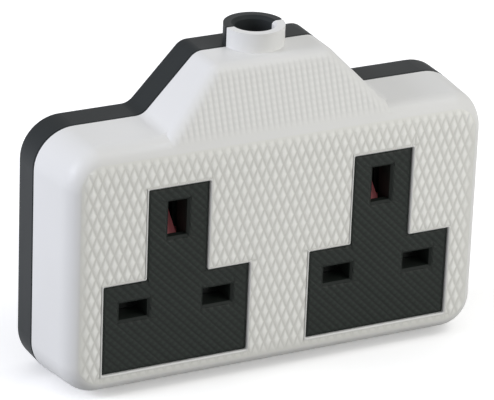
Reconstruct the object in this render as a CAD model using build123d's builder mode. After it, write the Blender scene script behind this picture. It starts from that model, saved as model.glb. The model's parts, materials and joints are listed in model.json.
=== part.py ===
from build123d import *
import os
from math import atan2, cos, hypot, radians, sin, tan

os.makedirs("parts", exist_ok=True)

# Two-gang trailing socket in two moulded halves, in millimetres.
# X runs across the front, Y from front to back, Z up, and the origin lies under the middle of the base.

# Pattern of the plug: three flat pins, the earth pin on top
PIN_SPACING = 22.2
EARTH_RISE = 22.2
FLAT_SLOT_W = 7.4
FLAT_SLOT_H = 4.4
EARTH_SLOT_W = 5.0
EARTH_SLOT_H = 9.2
SLOT_LEAD_IN = 0.5
FLAT_PIN_REACH = 17.7
EARTH_PIN_REACH = 22.75
EARTH_PIN_H = 8.0
PIN_T = 4.0

# T-shaped socket panels, measured from the pins that they surround
PANEL_SIDE = 8.3
PANEL_DROP = 15.9
PANEL_SHOULDER = 7.55
PANEL_HEAD = 8.75
PANEL_STEM_SIDE = 5.6
PANEL_CORNER = 0.4
PANEL_SINK = 0.7
PANEL_T = 6.0
PANEL_EARTH_SKIN = 2.2
PANEL_SKIRT = 1.5
FLANGE_W = 1.8
FLANGE_T = 1.6
PANEL_FIT = 0.15
WINDOW_EDGE = 0.25
WINDOW_RIM = 0.4

# Housing around the two panels
PANEL_GAP = 16.2
SIDE_MARGIN = 10.6
FOOT_MARGIN = 7.0
HEAD_MARGIN = 11.45
CORNER_R = 10.2
FRONT_DEPTH = 18.5
WALL = 2.5
FRONT_ROUND = 5.0
REAR_ROUND = 1.5
FIELD_SINK = 0.3
SEAM_BREAK = 0.35
LIP_T = 1.2
LIP_H = 1.6
LIP_FIT = 0.12

# Tapered neck and the split collar for the cable
NECK_ROOT_W = 58.6
NECK_TOP_W = 31.4
NECK_RISE = 14.45
NECK_LEAN = 22.0
NECK_ROUND = 3.5
NECK_CORNER = 4.0
CABLE_BORE = 9.6
COLLAR_WALL = 2.75
COLLAR_RISE = 4.9
COLLAR_MOUTH = 0.8

# Shutters, which slide down behind the panels when an earth pin pushes their ramps
SHUTTER_TRAVEL = 6.0
SHUTTER_T = 2.0
SHUTTER_RUN = 0.2
SHUTTER_SIDE_RUN = 0.3
BLADE_OVERLAP = 1.0
LUG_W = 1.6
ARM_SIDE_RUN = 0.4
RAMP_W = 3.2
RAMP_SETBACK = 4.2
RAMP_LEAD = 2.0
RAMP_CREST = 0.8
RAMP_ROOT = 3.0
SPRING_WIRE = 0.5
SPRING_MEAN_R = 1.5
SPRING_WIRE_SIDES = 4
SPRING_TURNS = 5
SPRING_SEAT_H = 1.8
SPRING_END_GAP = 0.1
SPRING_BAY_RUN = 0.6

# Contacts: folded strips with one jaw for each pin
CARRIER_T = 2.5
STRIP_T = 0.8
LINK_W = 5.0
JAW_W = 6.0
EARTH_JAW_W = 7.0
JAW_PINCH = 0.2
JAW_FLARE = 0.6
JAW_LIP = 1.5
JAW_SIDE_GAP = 0.3
JAW_MOUTH_GAP = 0.75
POST_WALL = 1.2
POST_SEAT = 1.25
FLAT_TIP_ROOM = 0.65
EARTH_TIP_ROOM = 0.3
BACK_ROOM = 0.65
PAD_GAP = 0.15

# Wire terminals and their screws
TERMINAL_PITCH = 12.0
TERMINAL_LIFT = 1.3
PILLAR_W = 7.0
PILLAR_D = 7.2
PILLAR_H = 9.0
WIRE_BORE = 3.4
WIRE_BORE_DEPTH = 7.0
SCREW_FIT = 0.1
TERMINAL_SCREW_R = 1.45
TERMINAL_HEAD_R = 2.6
TERMINAL_HEAD_H = 2.0

# Cord grip in the neck
GRIP_RISE = 5.2
GRIP_W = 8.0
GRIP_SPREAD = 10.0
GRIP_EAR_T = 3.0
GRIP_CLAMP_R = 4.0
GRIP_CLAMP_WALL = 2.2
GRIP_BACK_GAP = 0.5
GRIP_POST_R = 3.0
GRIP_SCREW_R = 1.45
GRIP_SCREW_BITE = 7.0
GRIP_HEAD_R = 2.6
GRIP_HEAD_H = 1.8
SADDLE_W = 5.0

# Screws that hold the two halves together, driven from the back
CASE_SCREW_R = 1.7
CASE_HEAD_R = 3.0
CASE_HEAD_H = 2.2
CASE_SEAT_T = 3.5
CASE_SCREW_BITE = 11.0
CASE_BORE_FIT = 0.4
BOSS_WALL = 1.2
PILOT_SPARE = 1.0
SLOT_W = 0.9
SLOT_DEPTH = 1.1
CROSS_SHARE = 0.6
HEAD_BEVEL_SHARE = 0.25
TIP_SHARE = 0.33

# Reach within which two points count as one
POINT_TOL = 0.01

# Levels and widths that follow from the sizes above
PANEL_W = PIN_SPACING + 2 * PANEL_SIDE
PANEL_STEM_W = EARTH_SLOT_W + 2 * PANEL_STEM_SIDE
GANG_X = (PANEL_W + PANEL_GAP) / 2
BODY_W = 2 * PANEL_W + PANEL_GAP + 2 * SIDE_MARGIN
PANEL_FOOT_Z = FOOT_MARGIN
PIN_Z = PANEL_FOOT_Z + PANEL_DROP
EARTH_Z = PIN_Z + EARTH_RISE
PANEL_SHOULDER_Z = PIN_Z + PANEL_SHOULDER
PANEL_TOP_Z = EARTH_Z + PANEL_HEAD
BODY_H = PANEL_TOP_Z + HEAD_MARGIN
NECK_TOP_Z = BODY_H + NECK_RISE
COLLAR_TOP_Z = NECK_TOP_Z + COLLAR_RISE
NECK_SLOPE = (NECK_ROOT_W - NECK_TOP_W) / 2 / NECK_RISE
NECK_ROOT_Z = BODY_H - FRONT_ROUND + FRONT_ROUND * sin(radians(NECK_LEAN))
COLLAR_R = CABLE_BORE / 2 + COLLAR_WALL

# The depth holds the earth pin with the strip behind it, and the cord grip behind the seam
GRIP_HUMP_R = GRIP_CLAMP_R + GRIP_CLAMP_WALL
PIN_STACK = PANEL_SINK + EARTH_PIN_REACH + EARTH_TIP_ROOM + STRIP_T + BACK_ROOM + WALL
GRIP_STACK = FRONT_DEPTH + GRIP_HUMP_R + GRIP_BACK_GAP + WALL
DEPTH = max(PIN_STACK, GRIP_STACK)
FRONT_Y = -DEPTH / 2
BACK_Y = DEPTH / 2
SEAM_Y = FRONT_Y + FRONT_DEPTH
FIELD_Y = FRONT_Y + FIELD_SINK
INNER_FRONT_Y = FRONT_Y + WALL
INNER_BACK_Y = BACK_Y - WALL
PANEL_FACE_Y = FRONT_Y + PANEL_SINK
PANEL_BACK_Y = PANEL_FACE_Y + PANEL_T
EARTH_RECESS_Y = PANEL_FACE_Y + PANEL_EARTH_SKIN
SHUTTER_FRONT_Y = PANEL_BACK_Y + SHUTTER_RUN
SHUTTER_BACK_Y = SHUTTER_FRONT_Y + SHUTTER_T
CARRIER_FRONT_Y = SHUTTER_BACK_Y + SHUTTER_RUN
CARRIER_BACK_Y = CARRIER_FRONT_Y + CARRIER_T
FLAT_STRIP_Y = PANEL_FACE_Y + FLAT_PIN_REACH + FLAT_TIP_ROOM
EARTH_STRIP_Y = PANEL_FACE_Y + EARTH_PIN_REACH + EARTH_TIP_ROOM
TERMINAL_SEAT_Y = FLAT_STRIP_Y + STRIP_T
PILLAR_FRONT_Y = FLAT_STRIP_Y - PILLAR_D
CASE_SEAT_Y = SEAM_Y + CASE_SEAT_T
GRIP_SEAT_Y = SEAM_Y + GRIP_EAR_T
PAD_FRONT_Y = EARTH_STRIP_Y + STRIP_T + PAD_GAP

SKIRT_INSET = PANEL_FIT + PANEL_SKIRT
JAW_MID = PIN_T / 2 - JAW_PINCH / 2 + STRIP_T / 2
JAW_BASE = JAW_MID + JAW_PINCH
LINK_CLEAR = JAW_BASE + STRIP_T
LIVE_LINK_Z = PIN_Z - LINK_CLEAR - LINK_W / 2
NEUTRAL_LINK_Z = PIN_Z + LINK_CLEAR + LINK_W / 2
LIVE_RISER_X = GANG_X - PIN_SPACING / 4
TERMINAL_FOOT_Z = EARTH_Z + LINK_W / 2 + STRIP_T + 2 * TERMINAL_LIFT
TERMINAL_Z = TERMINAL_FOOT_Z + PILLAR_H / 2
GRIP_Z = BODY_H + GRIP_RISE
CASE_BORE_R = CASE_HEAD_R + CASE_BORE_FIT
BOSS_R = CASE_BORE_R + BOSS_WALL
STEM_EDGE_X = GANG_X + PANEL_STEM_W / 2 + FLANGE_W
UPPER_BOSS_X = (STEM_EDGE_X + BODY_W / 2 - WALL) / 2
UPPER_BOSS_Z = (PANEL_SHOULDER_Z + FLANGE_W + BODY_H - WALL) / 2
LOWER_BOSS_Z = (WALL + LIVE_LINK_Z - LINK_W / 2) / 2
BOSS_POINTS = [(-UPPER_BOSS_X, UPPER_BOSS_Z), (UPPER_BOSS_X, UPPER_BOSS_Z), (0, LOWER_BOSS_Z)]
GRIP_POINTS = [(-GRIP_SPREAD, GRIP_Z), (GRIP_SPREAD, GRIP_Z)]
TERMINAL_XS = {"neutral": -TERMINAL_PITCH, "earth": 0.0, "live": TERMINAL_PITCH}


def face_plane(y, x=0.0):
    """Drawing plane parallel to the front face. A positive extrusion runs towards the front."""
    return Plane(origin=(x, y, 0), x_dir=(1, 0, 0), z_dir=(0, -1, 0))


def panel_points(inset):
    """Corners of the T outline, about the centre line of one socket."""
    foot = PANEL_W / 2 - inset
    stem = PANEL_STEM_W / 2 - inset
    low = PANEL_FOOT_Z + inset
    shoulder = PANEL_SHOULDER_Z - inset
    high = PANEL_TOP_Z - inset
    right = [(foot, low), (foot, shoulder), (stem, shoulder), (stem, high)]
    left = [(-x, z) for x, z in reversed(right)]
    return right + left


def neck_points(inset, root_z):
    """Corners of the tapered neck, from root_z up, drawn in by inset."""
    top_z = NECK_TOP_Z - inset
    root_x = NECK_ROOT_W / 2 - (root_z - BODY_H) * NECK_SLOPE - inset * hypot(1, NECK_SLOPE)
    top_x = NECK_ROOT_W / 2 - (top_z - BODY_H) * NECK_SLOPE - inset * hypot(1, NECK_SLOPE)
    return [(root_x, root_z), (top_x, top_z), (-top_x, top_z), (-root_x, root_z)]


def lean_plane(inset, face_y):
    """Leaning front of the neck, tangent to the rounded top edge of the body behind face_y."""
    lean = radians(NECK_LEAN)
    radius = FRONT_ROUND - inset
    touch_y = face_y + radius - radius * cos(lean)
    touch_z = BODY_H - FRONT_ROUND + radius * sin(lean)
    return Plane(origin=(0, touch_y, touch_z), x_dir=(1, 0, 0), z_dir=(0, -cos(lean), sin(lean)))


def lean_axis():
    """Axis that points out of the leaning front of the neck."""
    lean = radians(NECK_LEAN)
    return Axis((0, 0, 0), (0, -cos(lean), sin(lean)))


def outline_sketch(inset, y):
    """Outline of the whole housing, body and neck, drawn in by inset."""
    with BuildSketch(face_plane(y)) as outline:
        with Locations((0, BODY_H / 2)):
            RectangleRounded(BODY_W - 2 * inset, BODY_H - 2 * inset, CORNER_R - inset)
        Polygon(*neck_points(inset, NECK_ROOT_Z - inset))
        fillet(outline.vertices().group_by(Axis.Y)[-1], NECK_CORNER)
        top_z = BODY_H - inset
        on_top = outline.vertices().filter_by_position(Axis.Y, top_z - POINT_TOL, top_z + POINT_TOL)
        fillet(on_top.filter_by_position(Axis.X, -NECK_ROOT_W / 2, NECK_ROOT_W / 2), NECK_CORNER)
    return outline.sketch


def front_form(inset, face_y):
    """Front half without its hollow: rounded block and leaning neck behind face_y, drawn in by inset."""
    with BuildPart() as neck:
        with BuildSketch(face_plane(SEAM_Y)) as neck_face:
            Polygon(*neck_points(inset, NECK_ROOT_Z))
            fillet(neck_face.vertices().group_by(Axis.Y)[-1], NECK_CORNER)
        extrude(amount=FRONT_DEPTH)
        split(bisect_by=lean_plane(inset, face_y), keep=Keep.BOTTOM)
        if NECK_ROUND > inset:
            leaning = neck.faces().sort_by(lean_axis())[-1]
            root_edge = leaning.edges().sort_by(Axis.Z)[0]
            fillet(leaning.edges() - [root_edge], NECK_ROUND - inset)
    with BuildPart() as form:
        with BuildSketch(face_plane(SEAM_Y)):
            with Locations((0, BODY_H / 2)):
                RectangleRounded(BODY_W - 2 * inset, BODY_H - 2 * inset, CORNER_R - inset)
        extrude(amount=SEAM_Y - face_y)
        fillet(form.faces().sort_by(Axis.Y)[0].edges(), FRONT_ROUND - inset)
        add(neck.part)
    return form.part


def valley_rounds():
    """Rounded valleys beside the neck, which run out to a point on the rounded top edge of the body."""
    rise = atan2(1, NECK_SLOPE)
    reach = NECK_CORNER * tan(rise / 2)
    root_x = NECK_ROOT_W / 2
    on_top = (root_x + reach, BODY_H)
    on_flank = (root_x - reach * cos(rise), BODY_H + reach * sin(rise))
    round_start = FIELD_Y + FRONT_ROUND
    with BuildPart() as valley:
        with BuildSketch(face_plane(round_start)) as section:
            with BuildLine():
                RadiusArc(on_flank, on_top, -NECK_CORNER)
                Line(on_top, (root_x - reach, BODY_H - reach))
                Line((root_x - reach, BODY_H - reach), on_flank)
            make_face()
        extrude(section.sketch, amount=round_start - SEAM_Y)
        loft([section.sketch.face(), Vertex(root_x, round_start - 2 * reach, BODY_H - reach)])
        mirror(about=Plane.YZ)
    return valley.part


def collar_half(keep):
    """One half of the cable collar, split along the seam."""
    with BuildPart() as collar:
        with BuildSketch(Plane.XY.offset(NECK_TOP_Z - WALL)):
            with Locations((0, SEAM_Y)):
                Circle(COLLAR_R)
        extrude(amount=WALL + COLLAR_RISE)
        split(bisect_by=face_plane(SEAM_Y), keep=keep)
    return collar.part


def cable_way():
    """Cutter for the cable bore, with its eased mouth."""
    bore_r = CABLE_BORE / 2
    with BuildPart() as way:
        with BuildSketch(Plane.XZ.offset(-SEAM_Y)):
            with BuildLine():
                Polyline(
                    (0, NECK_TOP_Z - 2 * WALL),
                    (bore_r, NECK_TOP_Z - 2 * WALL),
                    (bore_r, COLLAR_TOP_Z - COLLAR_MOUTH),
                    (bore_r + COLLAR_MOUTH, COLLAR_TOP_Z),
                    (0, COLLAR_TOP_Z),
                    close=True,
                )
            make_face()
        revolve(axis=Axis((0, SEAM_Y, 0), (0, 0, 1)))
    return way.part


# Front cover: white shell with a rim round each T window, bosses, terminal posts and the cord saddle
cable_bore = cable_way()
with BuildPart() as front_cover:
    add(front_form(0, FIELD_Y))
    add(valley_rounds())
    add(collar_half(Keep.TOP))
    chamfer(front_cover.faces().sort_by(Axis.Y)[-1].outer_wire().edges(), SEAM_BREAK)
    add(front_form(WALL, INNER_FRONT_Y), mode=Mode.SUBTRACT)
    rebate = outline_sketch(WALL - LIP_T, SEAM_Y)
    extrude(rebate, amount=LIP_H, mode=Mode.SUBTRACT)
    with BuildSketch(face_plane(FIELD_Y)):
        with Locations((-GANG_X, 0), (GANG_X, 0)):
            Polygon(*panel_points(-WINDOW_RIM))
    extrude(amount=FIELD_SINK)
    with BuildSketch(face_plane(FRONT_Y)) as windows:
        with Locations((-GANG_X, 0), (GANG_X, 0)):
            Polygon(*panel_points(0))
        fillet(windows.vertices(), PANEL_CORNER)
    extrude(amount=-WALL, mode=Mode.SUBTRACT)
    rim_faces = front_cover.faces().filter_by(Axis.Y).group_by(Axis.Y)[0]
    chamfer([edge for rim in rim_faces for edge in rim.inner_wires().edges()], WINDOW_EDGE)
    with BuildSketch(face_plane(SEAM_Y)):
        with Locations(*BOSS_POINTS):
            Circle(BOSS_R)
    extrude(amount=FRONT_DEPTH - WALL)
    with BuildSketch(face_plane(PILLAR_FRONT_Y)):
        with Locations(*[(x, TERMINAL_Z) for x in TERMINAL_XS.values()]):
            Rectangle(PILLAR_W - 2 * POST_WALL, PILLAR_H - 2 * POST_WALL)
    extrude(amount=PILLAR_FRONT_Y - INNER_FRONT_Y)
    with BuildSketch(face_plane(SEAM_Y)):
        with Locations(*GRIP_POINTS):
            Circle(GRIP_POST_R)
        with Locations((0, GRIP_Z)):
            Rectangle(2 * GRIP_SPREAD, SADDLE_W)
    extrude(until=Until.NEXT)
    with BuildSketch(face_plane(SEAM_Y)):
        with Locations(*BOSS_POINTS):
            Circle(CASE_SCREW_R + SCREW_FIT)
    extrude(amount=CASE_SCREW_BITE + PILOT_SPARE, mode=Mode.SUBTRACT)
    with BuildSketch(face_plane(SEAM_Y)):
        with Locations(*GRIP_POINTS):
            Circle(GRIP_SCREW_R + SCREW_FIT)
    extrude(amount=GRIP_SCREW_BITE + PILOT_SPARE, mode=Mode.SUBTRACT)
    with BuildSketch(Plane.XY.offset(BODY_H)):
        with Locations((0, SEAM_Y)):
            Circle(CABLE_BORE / 2)
    extrude(amount=NECK_RISE, mode=Mode.SUBTRACT)
    add(cable_bore, mode=Mode.SUBTRACT)
front_cover.part.label = "front_cover"
export_step(front_cover.part, "parts/front_cover.step")

# Rear cover: charcoal tray with a locating lip, screw wells and pads that hold the earth strip down
with BuildPart() as rear_cover:
    extrude(outline_sketch(0, SEAM_Y), amount=-(BACK_Y - SEAM_Y))
    fillet(rear_cover.faces().sort_by(Axis.Y)[-1].edges(), REAR_ROUND)
    add(collar_half(Keep.BOTTOM))
    chamfer(rear_cover.faces().sort_by(Axis.Y)[0].outer_wire().edges(), SEAM_BREAK)
    extrude(outline_sketch(WALL, SEAM_Y), amount=-(INNER_BACK_Y - SEAM_Y), mode=Mode.SUBTRACT)
    extrude(outline_sketch(WALL - LIP_T + LIP_FIT, SEAM_Y), amount=LIP_H - LIP_FIT)
    extrude(outline_sketch(WALL, SEAM_Y), amount=LIP_H, mode=Mode.SUBTRACT)
    with BuildSketch(face_plane(SEAM_Y)):
        with Locations(*BOSS_POINTS):
            Circle(BOSS_R)
    extrude(amount=-(INNER_BACK_Y - SEAM_Y))
    with BuildSketch(face_plane(INNER_BACK_Y)):
        with Locations((-GANG_X, EARTH_Z), (GANG_X, EARTH_Z)):
            Rectangle(JAW_W, LINK_W)
    extrude(amount=INNER_BACK_Y - PAD_FRONT_Y)
    with BuildSketch(face_plane(SEAM_Y)):
        with Locations(*BOSS_POINTS):
            Circle(CASE_SCREW_R + CASE_BORE_FIT)
    extrude(amount=-CASE_SEAT_T, mode=Mode.SUBTRACT)
    with BuildSketch(face_plane(CASE_SEAT_Y)):
        with Locations(*BOSS_POINTS):
            Circle(CASE_BORE_R)
    extrude(amount=-(BACK_Y - CASE_SEAT_Y), mode=Mode.SUBTRACT)
    add(cable_bore, mode=Mode.SUBTRACT)
rear_cover.part.label = "rear_cover"
export_step(rear_cover.part, "parts/rear_cover.step")


PIN_UNDER_Z = EARTH_Z - EARTH_PIN_H / 2
RAMP_FRONT_Y = PANEL_FACE_Y + RAMP_SETBACK
RAMP_CREST_Y = RAMP_FRONT_Y + RAMP_LEAD + SHUTTER_TRAVEL
RAMP_TOP_Z = PIN_UNDER_Z + SHUTTER_TRAVEL
RAMP_LOW_Z = PIN_UNDER_Z - RAMP_LEAD
RAMP_FOOT_Z = RAMP_LOW_Z - RAMP_ROOT
EARTH_BAY_FOOT_Z = RAMP_FOOT_Z - SHUTTER_TRAVEL - SHUTTER_SIDE_RUN
EARTH_BAY_TOP_Z = EARTH_Z + EARTH_SLOT_H / 2
EARTH_BAY_Z = (EARTH_BAY_FOOT_Z + EARTH_BAY_TOP_Z) / 2
EARTH_BAY_H = EARTH_BAY_TOP_Z - EARTH_BAY_FOOT_Z


def make_panel(x):
    """Dark T panel: sunk face with eased slots, a flange behind the window and a skirt round the shutter."""
    with BuildPart() as panel:
        with BuildSketch(face_plane(CARRIER_FRONT_Y, x)) as tee:
            Polygon(*panel_points(PANEL_FIT))
            fillet(tee.vertices(), PANEL_CORNER)
        extrude(amount=CARRIER_FRONT_Y - PANEL_FACE_Y)
        with BuildSketch(face_plane(INNER_FRONT_Y + FLANGE_T, x)):
            Polygon(*panel_points(-FLANGE_W))
        extrude(amount=FLANGE_T)
        with BuildSketch(face_plane(CARRIER_FRONT_Y, x)):
            Polygon(*panel_points(SKIRT_INSET))
        extrude(amount=CARRIER_FRONT_Y - PANEL_BACK_Y, mode=Mode.SUBTRACT)
        with BuildSketch(face_plane(PANEL_BACK_Y, x)):
            with Locations((0, EARTH_BAY_Z)):
                Rectangle(EARTH_SLOT_W, EARTH_BAY_H)
        extrude(amount=PANEL_BACK_Y - EARTH_RECESS_Y, mode=Mode.SUBTRACT)
        with BuildSketch(face_plane(PANEL_BACK_Y, x)):
            with Locations((-PIN_SPACING / 2, PIN_Z), (PIN_SPACING / 2, PIN_Z)):
                Rectangle(FLAT_SLOT_W, FLAT_SLOT_H)
            with Locations((0, EARTH_Z)):
                Rectangle(EARTH_SLOT_W, EARTH_SLOT_H)
        extrude(amount=PANEL_T, mode=Mode.SUBTRACT)
        face = panel.faces().filter_by(Axis.Y).sort_by(Axis.Y)[0]
        chamfer(face.inner_wires().edges(), SLOT_LEAD_IN)
    return panel.part


BLADE_TOP_Z = PIN_Z + FLAT_SLOT_H / 2 + BLADE_OVERLAP
BLADE_FOOT_Z = PIN_Z - FLAT_SLOT_H / 2 - BLADE_OVERLAP
LUG_TOP_Z = PANEL_SHOULDER_Z - SKIRT_INSET - SHUTTER_SIDE_RUN
ARM_HALF = PANEL_STEM_W / 2 - SKIRT_INSET - ARM_SIDE_RUN
SHUTTER_HALF = PANEL_W / 2 - SKIRT_INSET - SHUTTER_SIDE_RUN
SPRING_FOOT_Z = PANEL_FOOT_Z + SKIRT_INSET
SPRING_Y = CARRIER_FRONT_Y
SPRING_BAY_W = 2 * SPRING_MEAN_R + SPRING_WIRE + 2 * SPRING_BAY_RUN
SPRING_BAY_D = SPRING_MEAN_R + SPRING_WIRE / 2
SPRING_BAY_TOP_Z = BLADE_FOOT_Z + SPRING_SEAT_H + SHUTTER_SIDE_RUN


def make_shutter(x):
    """Red shutter: two blades across the flat slots, an arm, and a ramp that an earth pin pushes down."""
    with BuildPart() as shutter:
        with BuildSketch(face_plane(SHUTTER_BACK_Y, x)):
            with Locations((0, (BLADE_TOP_Z + BLADE_FOOT_Z) / 2)):
                Rectangle(2 * SHUTTER_HALF, BLADE_TOP_Z - BLADE_FOOT_Z)
            lug_x = SHUTTER_HALF - LUG_W / 2
            lug_z = (LUG_TOP_Z + BLADE_FOOT_Z) / 2
            with Locations((-lug_x, lug_z), (lug_x, lug_z)):
                Rectangle(LUG_W, LUG_TOP_Z - BLADE_FOOT_Z)
            with Locations((0, (RAMP_LOW_Z + BLADE_FOOT_Z) / 2)):
                Rectangle(2 * ARM_HALF, RAMP_LOW_Z - BLADE_FOOT_Z)
        extrude(amount=SHUTTER_T)
        with BuildSketch(Plane.YZ.offset(x - RAMP_W / 2)):
            with BuildLine():
                Polyline(
                    (RAMP_FRONT_Y, RAMP_FOOT_Z),
                    (RAMP_FRONT_Y, RAMP_LOW_Z),
                    (RAMP_CREST_Y, RAMP_TOP_Z),
                    (RAMP_CREST_Y + RAMP_CREST, RAMP_TOP_Z),
                    (RAMP_CREST_Y + RAMP_CREST, RAMP_FOOT_Z),
                    close=True,
                )
            make_face()
        extrude(amount=RAMP_W)
        with BuildSketch(face_plane(SPRING_Y + SPRING_BAY_D, x)):
            with Locations((0, BLADE_FOOT_Z + SPRING_SEAT_H / 2)):
                Rectangle(2 * (SPRING_MEAN_R + SPRING_WIRE / 2), SPRING_SEAT_H)
        extrude(amount=SPRING_Y + SPRING_BAY_D - SHUTTER_FRONT_Y)
    return shutter.part


def make_spring(x):
    """Return spring under the shutter, at the length that it has with no plug in."""
    foot_z = SPRING_FOOT_Z + SPRING_END_GAP + SPRING_WIRE / 2
    length = BLADE_FOOT_Z - SPRING_FOOT_Z - 2 * SPRING_END_GAP - SPRING_WIRE
    with BuildPart() as spring:
        with BuildLine(Plane(origin=(x, SPRING_Y, foot_z))) as coil:
            Helix(pitch=length / SPRING_TURNS, height=length, radius=SPRING_MEAN_R)
        with BuildSketch(Plane(origin=coil.line @ 0, z_dir=coil.line % 0)):
            RegularPolygon(SPRING_WIRE / 2, SPRING_WIRE_SIDES)
        sweep()
    return spring.part


def make_carrier(x):
    """Plate that closes the panel's skirt, with posts that hold the jaws of the three contacts."""
    flat_post = JAW_W / 2 + JAW_SIDE_GAP + POST_WALL / 2
    earth_post = JAW_MID + JAW_FLARE + STRIP_T / 2 + JAW_SIDE_GAP + POST_WALL / 2
    flat_xs = [side * PIN_SPACING / 2 + edge * flat_post for side in (-1, 1) for edge in (-1, 1)]
    post_half = LINK_CLEAR + POST_SEAT
    with BuildPart() as carrier:
        with BuildSketch(face_plane(CARRIER_BACK_Y, x)) as tee:
            Polygon(*panel_points(PANEL_FIT))
            fillet(tee.vertices(), PANEL_CORNER)
            with Locations((-PIN_SPACING / 2, PIN_Z), (PIN_SPACING / 2, PIN_Z)):
                Rectangle(FLAT_SLOT_W, FLAT_SLOT_H, mode=Mode.SUBTRACT)
            with Locations((0, EARTH_BAY_Z)):
                Rectangle(EARTH_SLOT_W, EARTH_BAY_H, mode=Mode.SUBTRACT)
            with Locations((0, (SPRING_FOOT_Z + SPRING_BAY_TOP_Z) / 2)):
                Rectangle(SPRING_BAY_W, SPRING_BAY_TOP_Z - SPRING_FOOT_Z, mode=Mode.SUBTRACT)
        extrude(amount=CARRIER_T)
        with BuildSketch(face_plane(FLAT_STRIP_Y, x)):
            with Locations(*[(post_x, PIN_Z) for post_x in flat_xs]):
                Rectangle(POST_WALL, 2 * post_half)
        extrude(amount=FLAT_STRIP_Y - CARRIER_BACK_Y)
        with BuildSketch(face_plane(EARTH_STRIP_Y, x)):
            with Locations((-earth_post, EARTH_Z), (earth_post, EARTH_Z)):
                Rectangle(POST_WALL, EARTH_PIN_H)
        extrude(amount=EARTH_STRIP_Y - CARRIER_BACK_Y)
    return carrier.part


for side, sign in (("left", -1), ("right", 1)):
    socket_panel = make_panel(sign * GANG_X)
    socket_panel.label = "socket_panel_" + side
    export_step(socket_panel, "parts/socket_panel_" + side + ".step")
    shutter = make_shutter(sign * GANG_X)
    shutter.label = "shutter_" + side
    export_step(shutter, "parts/shutter_" + side + ".step")
    shutter_spring = make_spring(sign * GANG_X)
    shutter_spring.label = "shutter_spring_" + side
    export_step(shutter_spring, "parts/shutter_spring_" + side + ".step")
    contact_carrier = make_carrier(sign * GANG_X)
    contact_carrier.label = "contact_carrier_" + side
    export_step(contact_carrier, "parts/contact_carrier_" + side + ".step")


def jaw_line(mouth_y, base_y):
    """Centre line of a jaw in depth and half-gap: flared lips, pinched throat, open base."""
    half = [(mouth_y, JAW_MID + JAW_FLARE), (mouth_y + JAW_LIP, JAW_MID), (base_y, JAW_BASE)]
    return half + [(depth, -gap) for depth, gap in reversed(half)]


def make_flat_busbar(side, link_z, terminal_x):
    """Strip that joins the two flat-pin jaws on one side of the sockets and rises to its terminal."""
    jaw_xs = [-GANG_X + side * PIN_SPACING / 2, GANG_X + side * PIN_SPACING / 2]
    base_y = FLAT_STRIP_Y + STRIP_T / 2
    link_left = jaw_xs[0] - JAW_W / 2
    link_right = jaw_xs[1] + JAW_W / 2
    tab_far_z = PIN_Z + (JAW_BASE + STRIP_T / 2) * (1 if link_z < PIN_Z else -1)
    with BuildPart() as busbar:
        with BuildSketch(face_plane(TERMINAL_SEAT_Y)):
            with Locations(((link_left + link_right) / 2, link_z)):
                Rectangle(link_right - link_left, LINK_W)
            with Locations(*[(jaw_x, (link_z + tab_far_z) / 2) for jaw_x in jaw_xs]):
                Rectangle(JAW_W, abs(link_z - tab_far_z))
            if side < 0:
                riser_x = terminal_x
                turn_z = link_z
            else:
                riser_x = LIVE_RISER_X
                turn_z = NEUTRAL_LINK_Z + LINK_W + TERMINAL_LIFT
            with Locations((riser_x, (link_z + turn_z + LINK_W / 2) / 2)):
                Rectangle(LINK_W, turn_z - link_z + LINK_W / 2)
            with Locations(((riser_x + terminal_x) / 2, turn_z)):
                Rectangle(abs(riser_x - terminal_x) + LINK_W, LINK_W)
            with Locations((terminal_x, (turn_z + TERMINAL_FOOT_Z + PILLAR_H) / 2)):
                Rectangle(LINK_W, TERMINAL_FOOT_Z + PILLAR_H - turn_z)
            with Locations((terminal_x, TERMINAL_Z)):
                Circle(TERMINAL_SCREW_R + SCREW_FIT, mode=Mode.SUBTRACT)
        extrude(amount=STRIP_T)
        jaw = [(depth, PIN_Z + gap) for depth, gap in jaw_line(CARRIER_BACK_Y + JAW_MOUTH_GAP, base_y)]
        for jaw_x in jaw_xs:
            with BuildSketch(Plane.YZ.offset(jaw_x - JAW_W / 2)):
                with BuildLine():
                    Polyline(*jaw)
                trace(line_width=STRIP_T)
            extrude(amount=JAW_W)
    return busbar.part


neutral_busbar = make_flat_busbar(-1, NEUTRAL_LINK_Z, TERMINAL_XS["neutral"])
neutral_busbar.label = "neutral_busbar"
export_step(neutral_busbar, "parts/neutral_busbar.step")
live_busbar = make_flat_busbar(1, LIVE_LINK_Z, TERMINAL_XS["live"])
live_busbar.label = "live_busbar"
export_step(live_busbar, "parts/live_busbar.step")

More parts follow.
